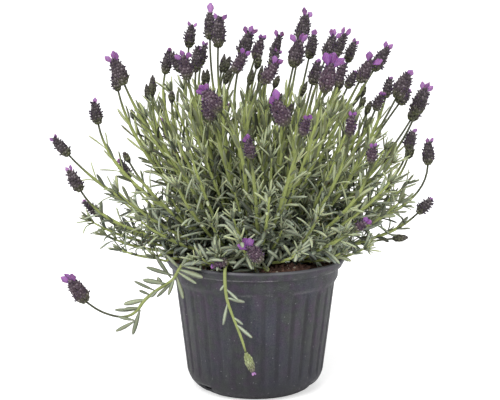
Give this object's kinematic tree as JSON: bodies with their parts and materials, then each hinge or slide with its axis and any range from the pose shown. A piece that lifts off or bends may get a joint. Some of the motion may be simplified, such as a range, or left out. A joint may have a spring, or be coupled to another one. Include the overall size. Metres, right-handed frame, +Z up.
{
  "type": "potted french lavender",
  "caption": "Bushy French lavender with violet-tipped flower heads on long stalks, growing in a tapered fluted nursery pot.",
  "frame": {"origin": "the middle of the pot's flat underside, on the surface it stands on", "axes": "+Z up; -Y is the front as pictured, and +X is to the right seen from the front"},
  "size_m": [0.4281, 0.3365, 0.4245],
  "materials": {
    "pot": "satin moulded plastic, dusty",
    "soil": "crumbly moist potting mix with pale specks",
    "foliage": "matte grey-green felted leaves on green stems",
    "bloom": "matte dark purple florets with thin violet bracts"
  },
  "bodies": {
    "root": {"pot": "pot", "soil": "soil", "branch_01": "foliage", "branch_02": "foliage", "branch_03": "foliage", "branch_04": "foliage", "branch_05": "foliage", "branch_06": "foliage", "branch_07": "foliage", "branch_08": "foliage", "branch_09": "foliage", "branch_10": "foliage", "branch_trailing": "foliage", "branch_hanging": "foliage", "head_01": "bloom", "head_02": "bloom", "head_03": "bloom", "head_04": "bloom", "head_05": "bloom", "head_06": "bloom", "head_07": "bloom", "head_08": "bloom", "head_09": "bloom", "head_10": "bloom", "head_11": "bloom", "head_12": "bloom", "head_13": "bloom", "head_14": "bloom", "head_15": "bloom", "head_16": "bloom", "head_17": "bloom", "head_18": "bloom", "head_19": "bloom", "head_20": "bloom", "head_21": "bloom", "head_22": "bloom", "head_23": "bloom", "head_24": "bloom", "head_25": "bloom", "head_26": "bloom", "head_27": "bloom", "head_28": "bloom", "head_29": "bloom", "head_30": "bloom", "head_31": "bloom", "head_32": "bloom", "head_33": "bloom", "head_34": "bloom", "head_35": "bloom", "head_36": "bloom", "head_37": "bloom", "head_38": "bloom", "head_39": "bloom", "head_40": "bloom", "head_41": "bloom", "head_42": "bloom", "head_43": "bloom", "head_44": "bloom", "head_45": "bloom", "head_46": "bloom"}
  },
  "joints": []
}
